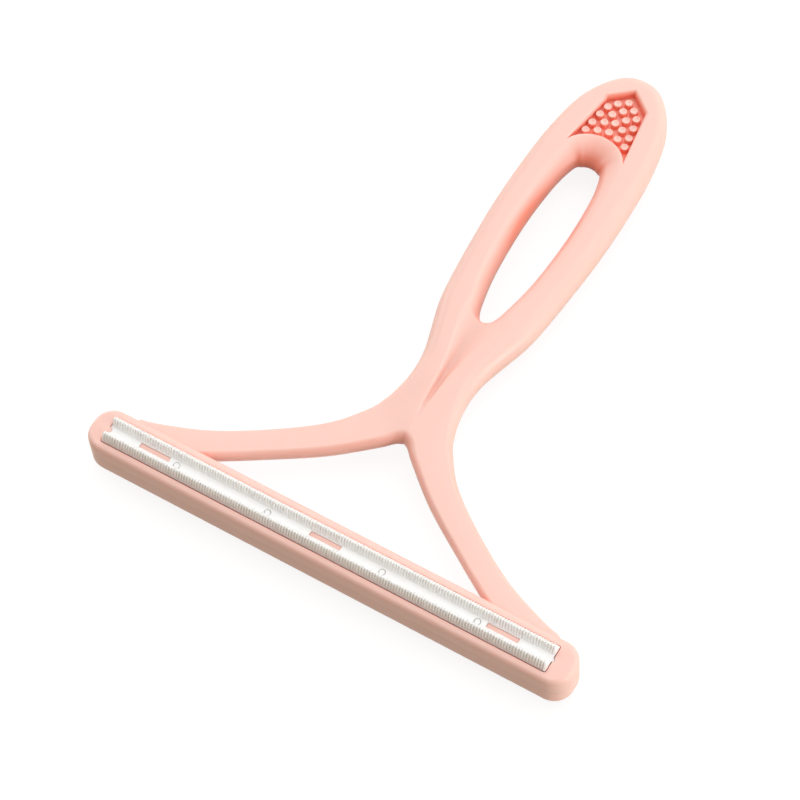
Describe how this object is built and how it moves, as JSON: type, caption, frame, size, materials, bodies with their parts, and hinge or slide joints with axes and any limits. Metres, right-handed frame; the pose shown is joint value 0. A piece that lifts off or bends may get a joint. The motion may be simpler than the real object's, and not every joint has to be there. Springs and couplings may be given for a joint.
{
  "type": "pet hair scraper",
  "caption": "Y-shaped pet-hair scraper: a cross bar with a fine-ribbed comb strip in each face, a handle with a long finger loop and a studded thumb pad.",
  "frame": {"origin": "centre of the footprint at the height of the lower comb's crests", "axes": "+X along the cross bar, +Y from the bar to the handle's tip, +Z out of the upper face"},
  "size_m": [0.1, 0.1203, 0.0115],
  "materials": {
    "upper_shell_plastic": "satin moulded pink",
    "lower_shell_plastic": "satin moulded pink",
    "upper_comb_plastic": "smooth moulded white",
    "lower_comb_plastic": "smooth moulded white"
  },
  "bodies": {
    "root": {"upper_shell": "upper_shell_plastic", "lower_shell": "lower_shell_plastic", "upper_comb": "upper_comb_plastic", "lower_comb": "lower_comb_plastic"}
  },
  "joints": []
}
